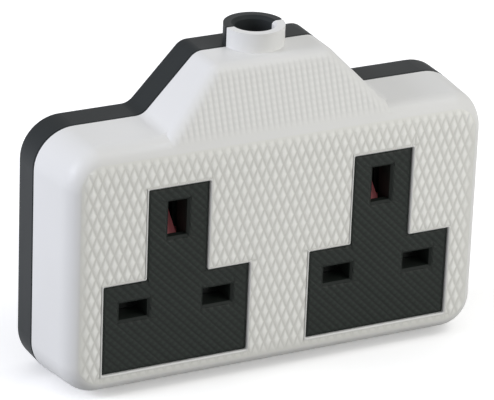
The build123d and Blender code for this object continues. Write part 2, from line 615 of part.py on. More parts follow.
# Earth strip across the back of both sockets, cranked forward to its terminal
with BuildPart() as earth_busbar:
    strip_y = EARTH_STRIP_Y + STRIP_T / 2
    seat_y = FLAT_STRIP_Y + STRIP_T / 2
    step_z = TERMINAL_FOOT_Z - TERMINAL_LIFT
    with BuildSketch(face_plane(EARTH_STRIP_Y + STRIP_T)):
        with Locations((0, EARTH_Z)):
            Rectangle(2 * GANG_X + 2 * JAW_BASE + STRIP_T, LINK_W)
    extrude(amount=STRIP_T)
    with BuildSketch(Plane.YZ.offset(-LINK_W / 2)):
        with BuildLine():
            Polyline(
                (strip_y, EARTH_Z),
                (strip_y, step_z),
                (seat_y, step_z),
                (seat_y, TERMINAL_FOOT_Z + PILLAR_H),
            )
        trace(line_width=STRIP_T)
    extrude(amount=LINK_W)
    for jaw_x in (-GANG_X, GANG_X):
        with BuildSketch(Plane.XY.offset(EARTH_Z - EARTH_JAW_W / 2)):
            with BuildLine():
                jaw_mouth_y = RAMP_CREST_Y + RAMP_CREST + JAW_LIP
                Polyline(*[(jaw_x + gap, depth) for depth, gap in jaw_line(jaw_mouth_y, strip_y)])
            trace(line_width=STRIP_T)
        extrude(amount=EARTH_JAW_W)
    with BuildSketch(face_plane(TERMINAL_SEAT_Y)):
        with Locations((0, TERMINAL_Z)):
            Circle(TERMINAL_SCREW_R + SCREW_FIT)
    extrude(amount=STRIP_T, mode=Mode.SUBTRACT)
earth_busbar.part.label = "earth_busbar"
export_step(earth_busbar.part, "parts/earth_busbar.step")


def make_terminal(x):
    """Brass pillar with a wire bore from above and a screw hole from the back."""
    with BuildPart() as pillar:
        with BuildSketch(face_plane(FLAT_STRIP_Y, x)):
            with Locations((0, TERMINAL_Z)):
                Rectangle(PILLAR_W, PILLAR_H)
        extrude(amount=PILLAR_D)
        with BuildSketch(Plane.XY.offset(TERMINAL_FOOT_Z + PILLAR_H)):
            with Locations((x, FLAT_STRIP_Y - PILLAR_D / 2)):
                Circle(WIRE_BORE / 2)
        extrude(amount=-WIRE_BORE_DEPTH, mode=Mode.SUBTRACT)
        with BuildSketch(face_plane(FLAT_STRIP_Y, x)):
            with Locations((0, TERMINAL_Z)):
                Circle(TERMINAL_SCREW_R + SCREW_FIT)
        extrude(amount=PILLAR_D / 2, mode=Mode.SUBTRACT)
    return pillar.part


def make_screw(point, seat_y, shank_r, shank_l, head_r, head_h, cross):
    """Screw driven from the back, with a bevelled head that has a straight or crossed slot."""
    with BuildPart() as screw:
        with BuildSketch(face_plane(seat_y)):
            with Locations(point):
                Circle(head_r)
        extrude(amount=-head_h)
        chamfer(screw.edges().sort_by(Axis.Y)[-1], head_h * HEAD_BEVEL_SHARE)
        with BuildSketch(face_plane(seat_y)):
            with Locations(point):
                Circle(shank_r)
        extrude(amount=shank_l)
        chamfer(screw.edges().sort_by(Axis.Y)[0], shank_r * TIP_SHARE)
        with BuildSketch(face_plane(seat_y + head_h)):
            with Locations(point):
                if cross:
                    Rectangle(2 * head_r * CROSS_SHARE, SLOT_W)
                    Rectangle(SLOT_W, 2 * head_r * CROSS_SHARE)
                else:
                    Rectangle(SLOT_W, 2 * head_r)
        extrude(amount=SLOT_DEPTH, mode=Mode.SUBTRACT)
    return screw.part


for wire, wire_x in TERMINAL_XS.items():
    terminal = make_terminal(wire_x)
    terminal.label = wire + "_terminal"
    export_step(terminal, "parts/" + wire + "_terminal.step")
    terminal_screw = make_screw(
        (wire_x, TERMINAL_Z), TERMINAL_SEAT_Y, TERMINAL_SCREW_R, STRIP_T + PILLAR_D / 2,
        TERMINAL_HEAD_R, TERMINAL_HEAD_H, False,
    )
    terminal_screw.label = "terminal_screw_" + wire
    export_step(terminal_screw, "parts/terminal_screw_" + wire + ".step")

# Cord grip: a humped bar over the cable, held by a screw at each end
with BuildPart() as cord_grip:
    ear_end = GRIP_SPREAD + GRIP_POST_R
    with BuildSketch(Plane.XY.offset(GRIP_Z - GRIP_W / 2)):
        with Locations((0, SEAM_Y)):
            Circle(GRIP_HUMP_R)
        with Locations((0, SEAM_Y - GRIP_HUMP_R / 2)):
            Rectangle(2 * GRIP_HUMP_R, GRIP_HUMP_R, mode=Mode.SUBTRACT)
        with Locations((0, SEAM_Y + GRIP_EAR_T / 2)):
            Rectangle(2 * ear_end, GRIP_EAR_T)
        with Locations((0, SEAM_Y)):
            Circle(GRIP_CLAMP_R, mode=Mode.SUBTRACT)
    extrude(amount=GRIP_W)
    with BuildSketch(face_plane(SEAM_Y)):
        with Locations(*GRIP_POINTS):
            Circle(GRIP_SCREW_R + SCREW_FIT)
    extrude(amount=-GRIP_EAR_T, mode=Mode.SUBTRACT)
cord_grip.part.label = "cord_grip"
export_step(cord_grip.part, "parts/cord_grip.step")

for side, point in zip(("left", "right"), GRIP_POINTS):
    grip_screw = make_screw(
        point, GRIP_SEAT_Y, GRIP_SCREW_R, GRIP_EAR_T + GRIP_SCREW_BITE, GRIP_HEAD_R, GRIP_HEAD_H, True,
    )
    grip_screw.label = "cord_grip_screw_" + side
    export_step(grip_screw, "parts/cord_grip_screw_" + side + ".step")

for place, point in zip(("left", "right", "lower"), BOSS_POINTS):
    case_screw = make_screw(
        point, CASE_SEAT_Y, CASE_SCREW_R, CASE_SEAT_T + CASE_SCREW_BITE, CASE_HEAD_R, CASE_HEAD_H, True,
    )
    case_screw.label = "case_screw_" + place
    export_step(case_screw, "parts/case_screw_" + place + ".step")
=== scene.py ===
# %% [markdown]
# # A two-gang trailing socket
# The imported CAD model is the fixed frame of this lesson. It holds the two moulded covers, the two dark socket
# panels, the safety shutters and the metal inside, each as a node of its own. Blender adds what the eye meets
# on the surface: the draft of the front cover, the diamond pads on its face, the square pads on its neck and
# on the panels, the round wire of the springs and the finish of each material. Everything is in metres, in
# the frame of the CAD model, and a size in millimetres is written as a number times MM.

# %% Load the frame
import json
import math

import bmesh
import bpy
from mathutils import Matrix, Vector
from mathutils.bvhtree import BVHTree

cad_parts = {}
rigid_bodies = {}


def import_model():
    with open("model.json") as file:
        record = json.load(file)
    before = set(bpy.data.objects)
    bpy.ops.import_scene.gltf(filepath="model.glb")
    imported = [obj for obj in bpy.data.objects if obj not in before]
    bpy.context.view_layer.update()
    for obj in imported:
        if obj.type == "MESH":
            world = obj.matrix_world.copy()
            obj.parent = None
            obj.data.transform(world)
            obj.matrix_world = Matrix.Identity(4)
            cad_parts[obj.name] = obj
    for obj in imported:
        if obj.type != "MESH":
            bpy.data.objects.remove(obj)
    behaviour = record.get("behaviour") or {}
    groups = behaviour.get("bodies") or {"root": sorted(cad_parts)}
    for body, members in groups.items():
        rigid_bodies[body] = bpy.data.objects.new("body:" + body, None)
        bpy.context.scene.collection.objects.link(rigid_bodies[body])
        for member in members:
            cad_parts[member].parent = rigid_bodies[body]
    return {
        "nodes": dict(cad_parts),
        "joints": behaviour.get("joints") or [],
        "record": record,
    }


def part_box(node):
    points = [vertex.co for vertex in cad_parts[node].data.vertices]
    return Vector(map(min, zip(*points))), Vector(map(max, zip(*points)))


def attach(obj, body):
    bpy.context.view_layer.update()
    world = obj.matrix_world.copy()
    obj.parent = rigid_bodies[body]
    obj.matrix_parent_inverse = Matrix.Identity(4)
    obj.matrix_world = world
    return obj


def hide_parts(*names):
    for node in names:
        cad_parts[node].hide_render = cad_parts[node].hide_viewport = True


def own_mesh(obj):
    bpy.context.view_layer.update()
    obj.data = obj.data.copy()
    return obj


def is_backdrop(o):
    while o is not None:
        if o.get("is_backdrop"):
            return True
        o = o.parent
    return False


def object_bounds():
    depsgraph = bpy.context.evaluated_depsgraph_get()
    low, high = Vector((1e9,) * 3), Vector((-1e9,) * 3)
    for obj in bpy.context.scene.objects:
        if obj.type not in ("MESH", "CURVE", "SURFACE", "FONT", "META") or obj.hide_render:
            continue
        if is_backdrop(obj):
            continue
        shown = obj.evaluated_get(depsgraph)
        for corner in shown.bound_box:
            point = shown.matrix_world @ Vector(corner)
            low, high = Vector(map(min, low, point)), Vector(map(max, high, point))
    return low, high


MM = 0.001
for leftover in list(bpy.data.objects):
    bpy.data.objects.remove(leftover)
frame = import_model()
cad_low, cad_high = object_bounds()
scene = bpy.context.scene
scene.view_settings.view_transform = "Standard"


def in_mm(place):
    """A place in millimetres, for printing."""
    return [round(v / MM, 2) for v in place]


print("CAD box in mm:", in_mm(cad_low), in_mm(cad_high))

# %% [markdown]
# ## Colours and nodes
# Colours are picked as sRGB hex values, as a paint chart gives them, and shaders work in linear light, so one
# function turns one into the other. A second small function adds any node with its settings, and sets or
# links its inputs, so that a material reads as a short list. A noise takes its scale in features per metre,
# so a third one works that out from a real size in millimetres. The Mix node has sockets of the same name for
# numbers, vectors and colours, so its colour sockets are picked by their numbers.

# %% Helpers for materials
COVER_WHITE = "#dcdcdb"
MIX_SHARE = 0
MIX_FIRST = 6
MIX_SECOND = 7
MIX_RESULT = 2


def linear(hex_colour):
    """The linear colour of an sRGB hex value."""
    shares = [int(hex_colour[i:i + 2], 16) / 255 for i in (1, 3, 5)]
    return tuple(s / 12.92 if s <= 0.04045 else ((s + 0.055) / 1.055) ** 2.4 for s in shares) + (1.0,)


def add_node(tree, kind, inputs=None, **settings):
    """Add a node with its settings. An input is a value, or the socket of another node to link."""
    node = tree.nodes.new(kind)
    for name, value in settings.items():
        setattr(node, name, value)
    for name, value in (inputs or {}).items():
        if isinstance(value, bpy.types.NodeSocket):
            tree.links.new(value, node.inputs[name])
        else:
            node.inputs[name].default_value = value
    return node


def new_material(name):
    """An empty material with its node tree."""
    material = bpy.data.materials.new(name)
    material.use_nodes = True
    material.node_tree.nodes.clear()
    return material, material.node_tree


def per(size):
    """Scale of a pattern whose features are this many millimetres apart."""
    return 1 / (size * MM)


print("white of the cover in linear light:", [round(c, 3) for c in linear(COVER_WHITE)])

# %% [markdown]
# ## Moulded plastics
# The covers are ABS, the socket panels tough PBT and the cord grip natural nylon, all from steel moulds. The
# etched mould leaves a satin skin: a fine grain that breaks up the highlight, and slow drifts of tone and
# gloss where the melt cooled. One even colour would look like paint, so a noise of a few centimetres drives
# the tone and the roughness together, and a noise of about half a millimetre drives the bump. The real grain
# is finer still, but it would not show in the render, so it is drawn as coarse as this. The specular level is
# low on the dark plastics, because their grain scatters most of the highlight.

# %% Plain plastics
DRIFT_SIZE = 28
GRAIN_DEPTH = 0.02 * MM
PLASTIC_IOR = 1.53
SATIN = (0.40, 0.48)
MATT = (0.46, 0.56)


def moulded_plastic(name, pale, deep, grain, bump, gloss, shine=0.5, second=None, where=None):
    """Moulded plastic: two close tones, a grain in mm, a roughness range, a second colour or painted shade."""
    material, tree = new_material(name)
    place = add_node(tree, "ShaderNodeTexCoord").outputs["Object"]
    drift = add_node(tree, "ShaderNodeTexNoise", {
        "Vector": place, "Scale": per(DRIFT_SIZE), "Detail": 2.0}).outputs["Fac"]
    skin = add_node(tree, "ShaderNodeTexNoise", {
        "Vector": place, "Scale": per(grain), "Detail": 3.0}).outputs["Fac"]
    tone = add_node(tree, "ShaderNodeMix", {
        MIX_SHARE: drift, MIX_FIRST: linear(pale), MIX_SECOND: linear(deep)}, data_type="RGBA")
    if second:
        tone = add_node(tree, "ShaderNodeMix", {
            MIX_SHARE: where(tree), MIX_FIRST: linear(second), MIX_SECOND: tone.outputs[MIX_RESULT]},
            data_type="RGBA")
    sheen = add_node(tree, "ShaderNodeMapRange", {"Value": drift, "To Min": gloss[0], "To Max": gloss[1]})
    grit = add_node(tree, "ShaderNodeBump", {"Strength": bump, "Distance": GRAIN_DEPTH, "Height": skin})
    shader = add_node(tree, "ShaderNodeBsdfPrincipled", {
        "Base Color": tone.outputs[MIX_RESULT], "Roughness": sheen.outputs["Result"],
        "Normal": grit.outputs["Normal"], "IOR": PLASTIC_IOR, "Specular IOR Level": shine})
    add_node(tree, "ShaderNodeOutputMaterial", {"Surface": shader.outputs["BSDF"]})
    return material


white_abs = moulded_plastic(
    "moulded_white_abs", COVER_WHITE, "#d7d7d5", grain=0.5, bump=0.10, gloss=SATIN, shine=0.35)
charcoal_abs = moulded_plastic(
    "moulded_charcoal_abs", "#2e3132", "#2a2d2e", grain=0.4, bump=0.25, gloss=MATT, shine=0.10)
panel_pbt = moulded_plastic(
    "moulded_dark_pbt", "#202522", "#1c211e", grain=0.4, bump=0.20, gloss=MATT, shine=0.15)
natural_nylon = moulded_plastic(
    "moulded_natural_nylon", "#d9d3c4", "#cfc8b7", grain=0.6, bump=0.10, gloss=(0.38, 0.48))
print("plain plastics:", white_abs.name, charcoal_abs.name, panel_pbt.name, natural_nylon.name)

# %% [markdown]
# ## Plastics with painted light and shade
# The raised textures are the same plastic as what they stand on, but their tones are painted light and shade.
# Their meshes carry an attribute called relief, 0 in a groove and 1 on a crest, which blends a darker tone
# into the grooves as painted shade, where little light gets in, and the crests are drawn lighter than the
# plain plastic as painted light. Pointiness from the Geometry node could find the grooves too, but it changes
# with the density of the mesh. The shutters are acetal, glossy and slippery, moulded in two shots: a red ramp
# on black blades. The height of a point tells the two apart. The red is drawn pale and pink, a painted
# highlight that makes up for the light that the slot keeps from the ramp.

# %% Plastics with painted light and shade, and in two colours
RAMP_FOOT_Z = 36.1 * MM


def crests_lit_grooves_shaded(tree):
    """1 on the crests of a texture, where light is painted, and 0 in its grooves, where shade is painted."""
    return add_node(tree, "ShaderNodeAttribute", attribute_name="relief").outputs["Fac"]


def on_ramp(tree):
    """1 on the ramp of a shutter and 0 on its blades."""
    place = add_node(tree, "ShaderNodeTexCoord").outputs["Object"]
    height = add_node(tree, "ShaderNodeSeparateXYZ", {"Vector": place}).outputs["Z"]
    return add_node(tree, "ShaderNodeMath", {0: height, 1: RAMP_FOOT_Z}, operation="GREATER_THAN").outputs[0]


# Painted light and shade: crests lighter than the plain white cover and grooves darker, as the pads catch and
# lose light.
white_diamonds = moulded_plastic(
    "moulded_white_abs_diamonds", "#f8f8f5", "#f3f3ef", grain=0.5, bump=0.10, gloss=SATIN, shine=0.35,
    second="#d3d3ce", where=crests_lit_grooves_shaded)
# Painted light and shade: the neck's crests are lighter than the plain white and its grooves darker.
white_squares = moulded_plastic(
    "moulded_white_abs_squares", "#e2e2e0", "#dddddb", grain=0.5, bump=0.10, gloss=SATIN, shine=0.35,
    second="#cdcdcb", where=crests_lit_grooves_shaded)
# Painted shade: a near black tone in the grooves between the panel pads.
panel_squares_pbt = moulded_plastic(
    "moulded_dark_pbt_squares", "#222a25", "#1e2621", grain=0.4, bump=0.20, gloss=(0.42, 0.52), shine=0.2,
    second="#0b100c", where=crests_lit_grooves_shaded)
# Painted highlight: the ramp's red is pale pink, lighter than the acetal, to make up for the light the slot
# keeps out.
shutter_acetal = moulded_plastic(
    "moulded_two_shot_acetal", "#f08a90", "#e88088", grain=0.6, bump=0.05, gloss=(0.16, 0.24), shine=0.5,
    second="#1b1e1d", where=on_ramp)
print("two colours:", white_diamonds.name, white_squares.name, panel_squares_pbt.name, shutter_acetal.name)

# %% [markdown]
# ## Metals
# The contacts are pressed from half-hard brass strip, whose rolling lines run along the strip. The screws are
# zinc plated, with the faint clouds of a passivated coat, and the springs are drawn steel wire. A noise that
# is stretched along one axis makes such lines without a picture, and it drives the roughness as well as the
# tone, because a dull line is also a rougher one.

# %% Metals
SCRATCH_DEPTH = 0.01 * MM
SCRATCH_BUMP = 0.15


def worked_metal(name, bright, dull, stretch, size, gloss):
    """Bare or plated metal: two tones and a range of roughness, both drawn out along one axis."""
    material, tree = new_material(name)
    place = add_node(tree, "ShaderNodeTexCoord").outputs["Object"]
    drawn = add_node(tree, "ShaderNodeMapping", {"Vector": place, "Scale": stretch}).outputs["Vector"]
    lines = add_node(tree, "ShaderNodeTexNoise", {
        "Vector": drawn, "Scale": per(size), "Detail": 4.0}).outputs["Fac"]
    tone = add_node(tree, "ShaderNodeMix", {
        MIX_SHARE: lines, MIX_FIRST: linear(bright), MIX_SECOND: linear(dull)}, data_type="RGBA")
    sheen = add_node(tree, "ShaderNodeMapRange", {"Value": lines, "To Min": gloss[0], "To Max": gloss[1]})
    scratch = add_node(tree, "ShaderNodeBump", {
        "Strength": SCRATCH_BUMP, "Distance": SCRATCH_DEPTH, "Height": lines})
    shader = add_node(tree, "ShaderNodeBsdfPrincipled", {
        "Base Color": tone.outputs[MIX_RESULT], "Roughness": sheen.outputs["Result"],
        "Normal": scratch.outputs["Normal"], "Metallic": 1.0})
    add_node(tree, "ShaderNodeOutputMaterial", {"Surface": shader.outputs["BSDF"]})
    return material


rolled_brass = worked_metal(
    "rolled_brass_strip", "#d8b466", "#b8934a", stretch=(0.08, 1.0, 1.0), size=0.4, gloss=(0.22, 0.34))
zinc_steel = worked_metal(
    "zinc_plated_steel", "#c6c9cc", "#aeb1b8", stretch=(1.0, 1.0, 1.0), size=1.5, gloss=(0.26, 0.38))
spring_wire = worked_metal(
    "drawn_spring_wire", "#9a9da1", "#82858a", stretch=(1.0, 1.0, 0.2), size=0.3, gloss=(0.24, 0.34))
print("metals:", rolled_brass.name, zinc_steel.name, spring_wire.name)

# %% [markdown]
# ## Dress the CAD nodes
# The record names a material slot for each node. A node whose shape is right keeps its mesh and gets the
# finished material in its slot. Modelling it again would only risk a different size.

# %% Give each node its material
FINISH = {
    "white_plastic": white_abs,
    "charcoal_plastic": charcoal_abs,
    "panel_plastic": panel_pbt,
    "red_plastic": shutter_acetal,
    "grip_nylon": natural_nylon,
    "brass": rolled_brass,
    "spring_steel": spring_wire,
    "screw_steel": zinc_steel,
}
for part in frame["record"]["subparts"]:
    mesh = frame["nodes"][part["node"]].data
    mesh.materials.clear()
    mesh.materials.append(FINISH[part["material_slot"]])

# %% [markdown]
# ## Draft of the front cover
# A moulded cover is narrower at its front than at its open side, so that it slides out of the mould. The CAD
# cover has straight walls. The points near its sides and its foot are drawn in, by a share that grows from
# the seam to the front face, and the rounding of the front edge becomes tighter in the same step. What lies
# more than 5 mm inside the outline stays where it is. A lattice could bend the cover too, but a rule for each
# point leaves the seam, the neck and the windows exactly as they are.

# %% Draft
BODY_HALF = cad_high.x
BODY_H = 65.3 * MM
CORNER_R = 10.2 * MM
FRONT_ROUND = 5.0 * MM
FRONT_Y = cad_low.y
SEAM_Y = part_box("front_cover")[1].y
DRAFT = 2.1 * MM


def draw_in(point):
    """Move a point of the cover in from the sides and the foot, as the draft of the mould asks."""
    out_x = max(0, abs(point.x) - BODY_HALF + CORNER_R)
    out_z = max(0, CORNER_R - point.z, point.z - BODY_H + CORNER_R)
    out = Vector((out_x, out_z))
    near = min(1, 1 - (CORNER_R - out.length) / FRONT_ROUND)
    if near > 0 and point.y < SEAM_Y:
        step = DRAFT * near * (SEAM_Y - point.y) / (SEAM_Y - FRONT_Y) / out.length
        point.x -= math.copysign(step * out.x, point.x)
        if point.z < CORNER_R:
            point.z += step * out.y


side_edge = Vector((BODY_HALF, FRONT_Y, BODY_H / 2))
draw_in(side_edge)
print("front of the side wall moves in by mm:", round((BODY_HALF - side_edge.x) / MM, 2))

# %% [markdown]
# ## The front cover
# The drafted cover is a copy of the CAD mesh. That mesh is loose triangles, each with corners of its own, so
# the copy's doubles are merged first, or smooth shading would have nothing to follow. Edges that turn by more
# than 25 degrees stay sharp. The normals that came with the triangles no longer fit and are removed, and a
# Weighted Normal modifier lets the large flat faces decide the shading where they meet a rounding. Each new
# piece rides on the housing, and its object stays at the origin, unturned, with its place in its mesh, so
# that the patterns of its material stay put. A closed piece has no open edges.

# %% Front cover
SHARP = math.radians(25)
MERGE = 0.0001 * MM


def place_piece(name, bm, turn, material):
    """Turn a finished drawing into its place on the housing and make it an object."""
    bmesh.ops.transform(bm, matrix=turn, verts=bm.verts)
    mesh = bpy.data.meshes.new(name)
    loose = [e for e in bm.edges if len(e.link_faces) != 2]
    bm.to_mesh(mesh)
    bm.free()
    mesh.materials.append(material)
    piece = bpy.data.objects.new(name, mesh)
    scene.collection.objects.link(piece)
    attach(piece, "housing")
    print(name, "faces:", len(mesh.polygons), "open edges:", len(loose))
    return piece


cover_bm = bmesh.new()
cover_bm.from_mesh(frame["nodes"]["front_cover"].data)
bmesh.ops.remove_doubles(cover_bm, verts=cover_bm.verts, dist=MERGE)
for face in cover_bm.faces:
    face.smooth = True
for edge in cover_bm.edges:
    edge.smooth = edge.calc_face_angle() < SHARP
for vert in cover_bm.verts:
    draw_in(vert.co)
cover_surface = BVHTree.FromBMesh(cover_bm)
cover = place_piece("drafted_front_cover", cover_bm, Matrix.Identity(4), white_abs)
cover.data.attributes.remove(cover.data.attributes["custom_normal"])
cover.modifiers.new("even_shading", "WEIGHTED_NORMAL").keep_sharp = True
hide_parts("front_cover")

# %% [markdown]
# ## Raised textures
# The front face, the front of the neck and the panels each carry a moulded texture that the hand can feel. A
# bump in the material would vanish at a glancing view and leave nothing in the mesh, so the textures are
# geometry. Each starts as one flat face, drawn in its own plane with z pointing out, and cutting lines part
# it into cells. A rounded corner is trimmed by a few lines that touch its arc. The next cells build up the
# steps, and a small sample sheet goes through them.

# %% Cut a sheet into cells


def flat_sheet(left, right, low, high):
    """One flat face in the plane of the drawing."""
    bm = bmesh.new()
    middle = Matrix.Translation(((left + right) / 2, (low + high) / 2, 0))
    stretch = Matrix.Diagonal((right - left, high - low, 1, 1))
    bmesh.ops.create_grid(bm, x_segments=1, y_segments=1, size=0.5, matrix=middle @ stretch)
    return bm


def cut(bm, point, normal, faces=None, trim=False):
    """Cut faces along a line of the drawing, and take away what lies past it if asked."""
    faces = list(bm.faces) if faces is None else faces
    edges = dict.fromkeys(e for f in faces for e in f.edges)
    verts = dict.fromkeys(v for f in faces for v in f.verts)
    bmesh.ops.bisect_plane(
        bm, geom=[*verts, *edges, *faces], dist=MERGE, clear_outer=trim,
        plane_co=(point[0], point[1], 0), plane_no=(normal[0], normal[1], 0))


def round_corner(bm, centre, radius, sides, cuts, start=0.0):
    """Trim a corner by lines that touch its arc, from a start angle to a right angle. Sides mirror it."""
    for step in range(1, cuts):
        angle = start + (math.pi / 2 - start) * step / cuts
        out = (sides[0] * math.cos(angle), sides[1] * math.sin(angle))
        cut(bm, (centre[0] + radius * out[0], centre[1] + radius * out[1]), out, trim=True)


sample = flat_sheet(-3 * MM, 3 * MM, 0, 5 * MM)
cut(sample, (0, 0), (1, 0))
print("cells of a sample sheet after one cut:", len(sample.faces))

# %% [markdown]
# ## Outlines in a sheet
# A cutting plane goes right through a sheet. To cut along the outline of a window, only those cells are cut
# that a side of the outline really crosses, and the others stay whole. The cells on the unwanted side are
# then deleted. A boolean would do it in one go, but it asks for closed solids, and a sheet has no inside.

# %% Cut along an outline


def crosses(face, axis, level, start, end):
    """Does a face lie across the stretch from start to end of an upright or level line?"""
    found = []
    for edge in face.edges:
        a, b = (v.co for v in edge.verts)
        if (a[axis] - level) * (b[axis] - level) < 0:
            share = (level - a[axis]) / (b[axis] - a[axis])
            found.append(a[1 - axis] + share * (b[1 - axis] - a[1 - axis]))
    return bool(found) and min(found) < end and max(found) > start


def cut_outline(bm, corners):
    """Cut the cells along an outline whose sides are upright or level."""
    for a, b in zip(corners, corners[1:] + corners[:1]):
        axis = 0 if abs(a[0] - b[0]) < abs(a[1] - b[1]) else 1
        start, end = sorted((a[1 - axis], b[1 - axis]))
        faces = [f for f in bm.faces if crosses(f, axis, a[axis], start, end)]
        if faces:
            cut(bm, a, (1 - axis, axis), faces)


def drop_cells(bm, unwanted):
    """Delete the cells whose middle is where it isn't wanted."""
    faces = [f for f in bm.faces if unwanted(f.calc_center_median())]
    bmesh.ops.delete(bm, geom=faces, context="FACES")


def box_corners(x, z, half_w, half_h):
    """Corners of a rectangle about its middle."""
    return [(x + u * half_w, z + v * half_h) for u, v in ((-1, -1), (1, -1), (1, 1), (-1, 1))]


cut_outline(sample, box_corners(3 * MM, 5 * MM, MM, MM))
drop_cells(sample, lambda point: point.x > 2 * MM and point.y > 4 * MM)
print("cells of the sample round a notch:", len(sample.faces))

# %% [markdown]
# ## From cells to pads
# Each cell is lifted in two steps, a steep rise and a lower crown, so that light catches a rounded pad. An
# inset without width raises a copy of the cell, and its top is then drawn in towards its middle, to a share
# of its width. A long cell is drawn in less at its ends. Cells that an outline has cut small rise less. The
# attribute relief notes how far up a point is. Calm is the value of relief at which a texture has the tone of
# the plain plastic beside it, and small cells stay nearer to that.

# %% Lift the cells
RISE_RELIEF = 0.8
CROWN_RELIEF = 1.0


def cell_room(face):
    """About the radius of the largest circle inside a cell."""
    return 2 * face.calc_area() / face.calc_perimeter()


def shrink_top(bm, face, spin, top, end_run):
    """Draw the top of a pad in towards its middle: to a share of its width, and at the ends by end_run."""
    local = Matrix.Rotation(-spin, 4, "Z") @ Matrix.Translation(-face.calc_center_median())
    reach = [(local @ v.co).y for v in face.verts]
    along = top if end_run is None else max(top, 1 - 2 * end_run / (max(reach) - min(reach)))
    bmesh.ops.scale(bm, vec=(top, along, 1), space=local, verts=face.verts)


def lift_cells(bm, rise, crown, top, calm, spin=0.0, end_run=None):
    """Lift each cell into a pad with sloping sides and a crown. Spin turns its length from upright."""
    relief = bm.verts.layers.float.new("relief")
    full_room = max(cell_room(face) for face in bm.faces)
    for face in list(bm.faces):
        share = cell_room(face) / full_room
        for height, level in ((rise, RISE_RELIEF), (crown, CROWN_RELIEF)):
            bmesh.ops.inset_individual(bm, faces=[face], thickness=0, depth=height * share)
            shrink_top(bm, face, spin, top, end_run)
            for vert in face.verts:
                vert[relief] = calm + (level - calm) * share
    for face in bm.faces:
        face.smooth = True


lift_cells(sample, rise=0.2 * MM, crown=0.05 * MM, top=0.5, calm=0.5)
print("height of the sample in mm:", round(max(v.co.z for v in sample.verts) / MM, 2))

# %% [markdown]
# ## Squares and soft edges
# The grooves between the columns of square pads are deeper than those between their rows. So the cells of
# such a texture are long ridges, and shallower grooves part them: lines are cut across at every half pitch,
# and the points on every second line sink by a share of their height. At the edge of a texture the height
# dies away, and the tone goes to calm with it, so that no border shows.

# %% Part the ridges and soften the edges


def cross_grooves(bm, normal, pitch, halves, share):
    """Part ridges into square pads by grooves that take a share of their height.

    Halves is how many half pitches are cut to each side of the origin.
    """
    relief = bm.verts.layers.float["relief"]
    normal = Vector(normal).normalized()
    for half in range(-halves, halves + 1):
        cut(bm, normal * pitch * half / 2, normal)
    for vert in bm.verts:
        place = vert.co.xy.dot(normal) / pitch
        left = 1 - share * (1 - 2 * abs(place - round(place)))
        vert.co.z *= left
        vert[relief] *= left


def run_out(bm, strength, calm):
    """Let a lifted sheet die away, in height and in tone, where the strength of its texture falls to 0."""
    relief = bm.verts.layers.float["relief"]
    for vert in bm.verts:
        share = strength(vert.co)
        vert.co.z *= share
        vert[relief] = calm + (vert[relief] - calm) * share


cross_grooves(sample, (0, 1), pitch=1.5 * MM, halves=8, share=0.5)
print("faces of the sample with cross grooves:", len(sample.faces))

# %% [markdown]
# ## Onto the cover
# A lifted sheet is still flat below. Each of its points is dropped straight onto the drafted cover, along a
# ray, and keeps its own height above it, so that the texture follows the rounded edges. A Shrinkwrap modifier
# would press the pads flat. The grooves stay 0.02 mm above the cover, because two faces in one place show as
# specks. The sheet then gets a thin edge and a back, which make it a closed solid.

# %% Lay a sheet on the cover and close it
SEAT_GAP = 0.02 * MM
THIN_BACK = 0.01 * MM
RAY_START = 20 * MM


def facing_front(root, lean=0.0):
    """Turn of a drawing that faces the front, stands at a root and leans back by an angle."""
    return Matrix.Translation(root) @ Matrix.Rotation(math.pi / 2 - lean, 4, "X")


def drape(bm, turn):
    """Let a lifted sheet follow the front cover below it, over flat and rounded parts alike."""
    out = turn.to_3x3() @ Vector((0, 0, 1))
    for vert in bm.verts:
        start = turn @ Vector((vert.co.x, vert.co.y, RAY_START))
        hit = cover_surface.ray_cast(start, -out)[0]
        vert.co.z += (turn.inverted() @ hit).z + SEAT_GAP


def close_back(bm, depth):
    """Give the sheet a thin edge and a back, so that it is a closed solid."""
    rim = [e for e in bm.edges if e.is_boundary]
    for edge in rim:
        edge.smooth = False
    made = bmesh.ops.extrude_edge_only(bm, edges=rim)["geom"]
    back = [v for v in made if isinstance(v, bmesh.types.BMVert)]
    bmesh.ops.translate(bm, verts=back, vec=(0, 0, -depth))
    open_rim = [e for e in bm.edges if e.is_boundary]
    bmesh.ops.triangle_fill(bm, edges=open_rim, use_beauty=True, normal=(0, 0, -1))
    for edge in open_rim:
        edge.smooth = False
    bmesh.ops.recalc_face_normals(bm, faces=bm.faces)


drape(sample, facing_front((0, FRONT_Y, BODY_H / 2)))
close_back(sample, THIN_BACK)
print("open edges of the closed sample:", sum(e.is_boundary for e in sample.edges))
sample.free()

# %% [markdown]
# ## The T of a socket
# Each dark panel shows as a T in a window of the front cover, with a broad foot round the two flat slots and
# a narrow stem round the earth slot. The texture of the front stops outside the T and that of the panel
# inside it, so both take their outline from the same corners, drawn out or in by a small inset.

# %% Outline of a socket
GANG_X = next(m["pos_m"][0] for m in frame["record"]["mounts"] if m["name"] == "right_outlet")
GANGS = (("left", -GANG_X), ("right", GANG_X))
TEE_FOOT_HALF = 19.4 * MM
TEE_STEM_HALF = 8.1 * MM
TEE_LOW = 7.0 * MM
TEE_SHOULDER = 30.45 * MM
TEE_HIGH = 53.85 * MM


def tee_corners(inset, x=0.0):
    """Corners of a socket's T, drawn in by inset, about the line of its earth pin."""
    foot = TEE_FOOT_HALF - inset
    stem = TEE_STEM_HALF - inset
    shoulder = TEE_SHOULDER - inset
    right = [(foot, TEE_LOW + inset), (foot, shoulder), (stem, shoulder), (stem, TEE_HIGH - inset)]
    return [(x + u, v) for u, v in right] + [(x - u, v) for u, v in reversed(right)]


